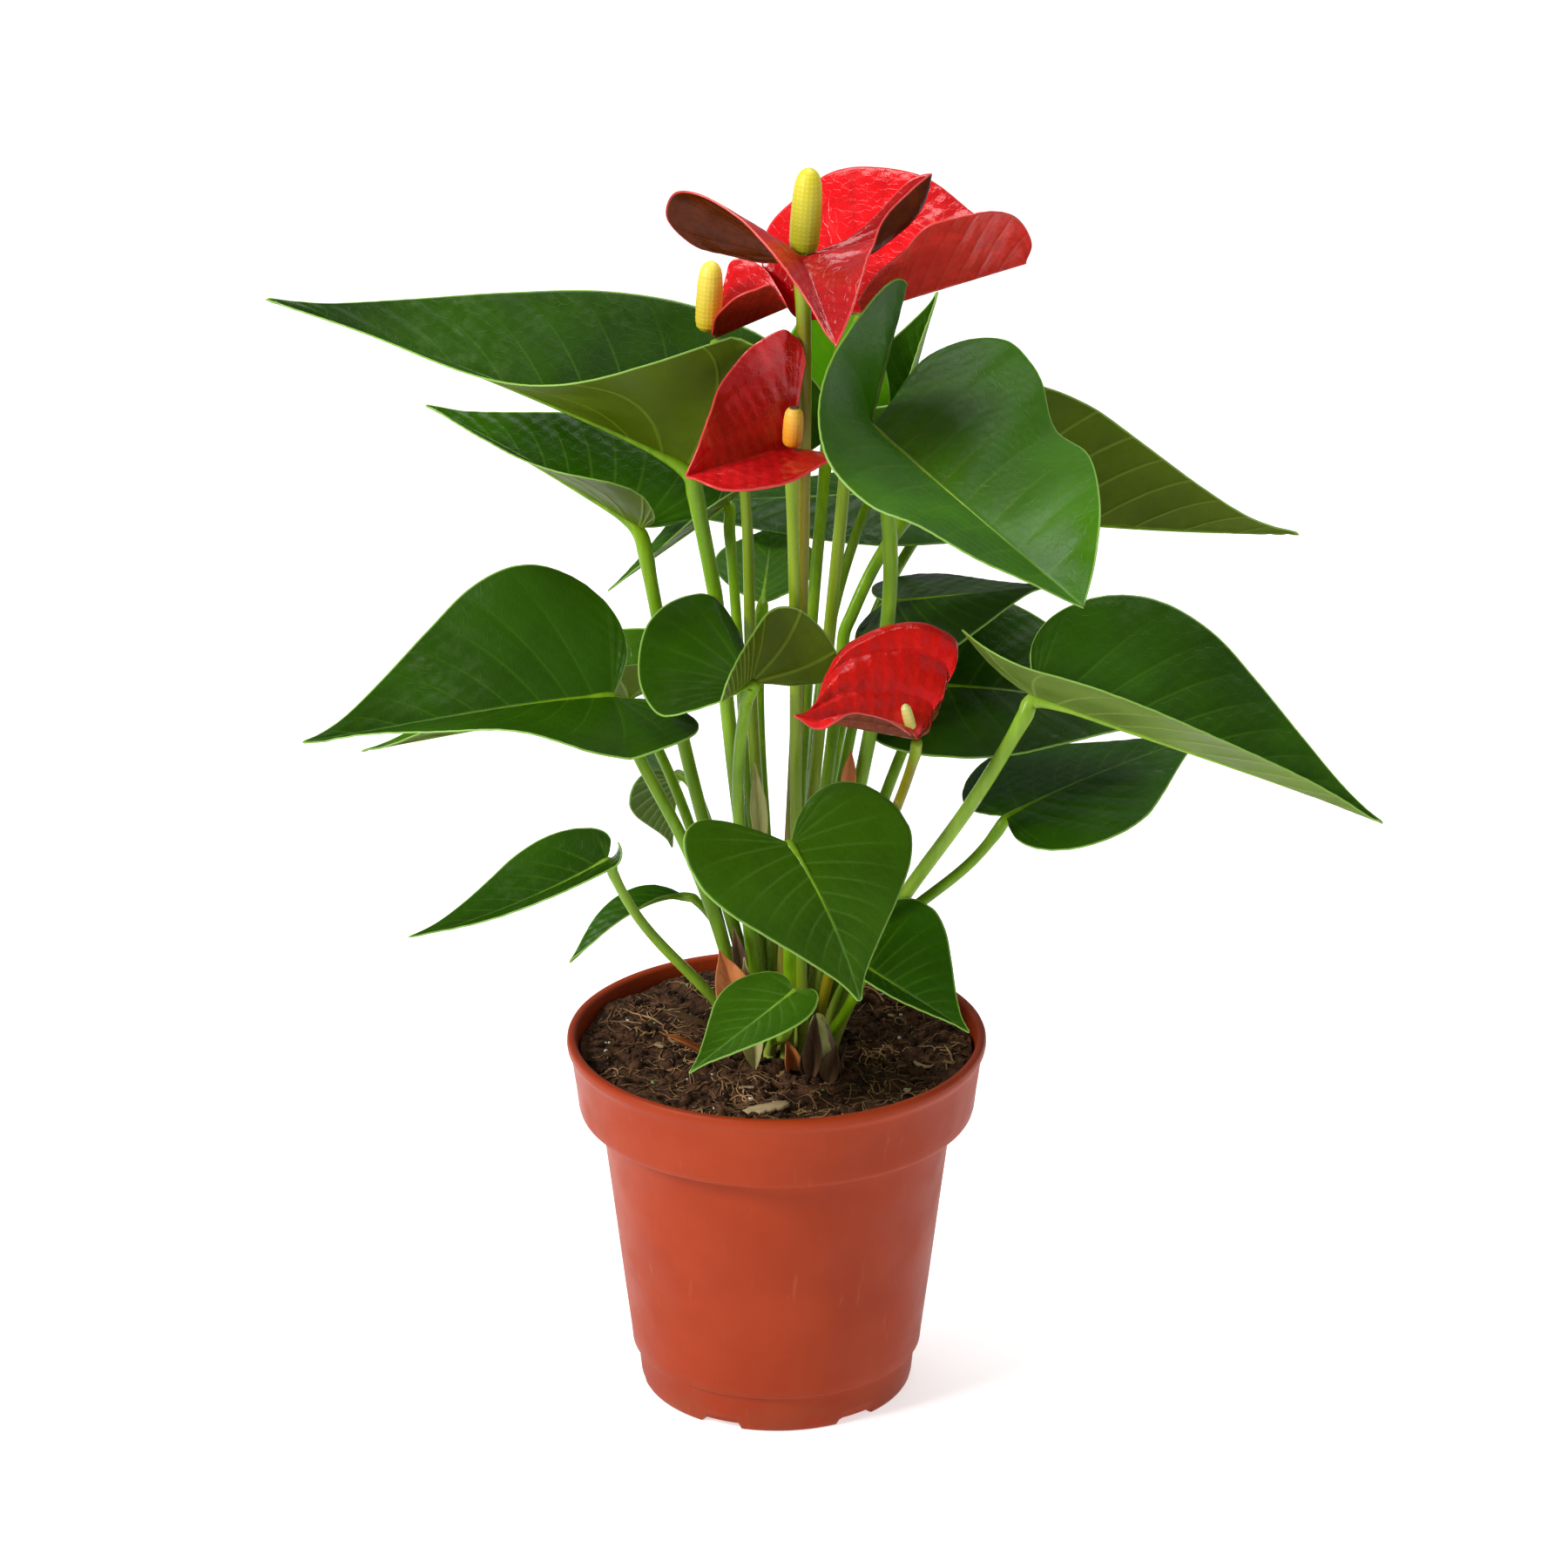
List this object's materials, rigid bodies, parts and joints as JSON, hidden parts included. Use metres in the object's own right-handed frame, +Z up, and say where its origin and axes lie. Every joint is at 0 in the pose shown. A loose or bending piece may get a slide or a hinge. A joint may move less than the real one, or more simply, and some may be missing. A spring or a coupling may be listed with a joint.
{
  "type": "potted anthurium plant",
  "caption": "Living flamingo flower with heart-shaped leaves and red spathes, standing in a round plastic nursery pot filled with peat.",
  "frame": {"origin": "centre of the flat pad under the pot, on the pot's axis, at the level of the floor", "axes": "+Z up the pot's axis through the plant, -Y towards the side with the open, flower-filled view, +X to the right of that view"},
  "size_m": [0.3092, 0.1651, 0.3671],
  "materials": {
    "pot_plastic": "terracotta coloured, smooth, slightly dusty",
    "peat": null,
    "crown": "pale green living stem base; leather stands in for plant tissue",
    "dry_sheath": "dry papery brown",
    "leaf": "glossy deep green with pale veins; leather stands in for plant tissue",
    "stalk": "smooth fresh green; leather stands in for plant tissue",
    "spathe": "waxy glossy red; leather stands in for plant tissue",
    "spadix": "finely bumpy yellow; leather stands in for plant tissue",
    "flower_stalk": "smooth brownish green; leather stands in for plant tissue"
  },
  "bodies": {
    "root": {"nursery_pot": "pot_plastic", "potting_soil": "peat", "crown_shoot": "crown", "sheath_front": "dry_sheath", "sheath_left": "dry_sheath", "sheath_tall": "dry_sheath", "leaf_01": "leaf", "leaf_02": "leaf", "leaf_03": "leaf", "leaf_04": "leaf", "leaf_05": "leaf", "leaf_06": "leaf", "leaf_07": "leaf", "leaf_08": "leaf", "leaf_09": "leaf", "leaf_10": "leaf", "leaf_11": "leaf", "leaf_12": "leaf", "leaf_13": "leaf", "leaf_14": "leaf", "leaf_15": "leaf", "leaf_16": "leaf", "leaf_17": "leaf", "leaf_18": "leaf", "leaf_19": "leaf", "leaf_20": "leaf", "leaf_21": "leaf", "leaf_22": "leaf", "petiole_01": "stalk", "petiole_02": "stalk", "petiole_03": "stalk", "petiole_04": "stalk", "petiole_05": "stalk", "petiole_06": "stalk", "petiole_07": "stalk", "petiole_11": "stalk", "petiole_12": "stalk", "petiole_13": "stalk", "petiole_14": "stalk", "petiole_15": "stalk", "petiole_16": "stalk", "petiole_17": "stalk", "petiole_18": "stalk", "petiole_19": "stalk", "spathe_1": "spathe", "spadix_1": "spadix", "peduncle_1": "flower_stalk", "spathe_2": "spathe", "spadix_2": "spadix", "peduncle_2": "flower_stalk", "spathe_3": "spathe", "spadix_3": "spadix", "peduncle_3": "flower_stalk", "spathe_4": "spathe", "spadix_4": "spadix", "peduncle_4": "flower_stalk", "spathe_5": "spathe", "spadix_5": "spadix", "peduncle_5": "flower_stalk"}
  },
  "joints": []
}
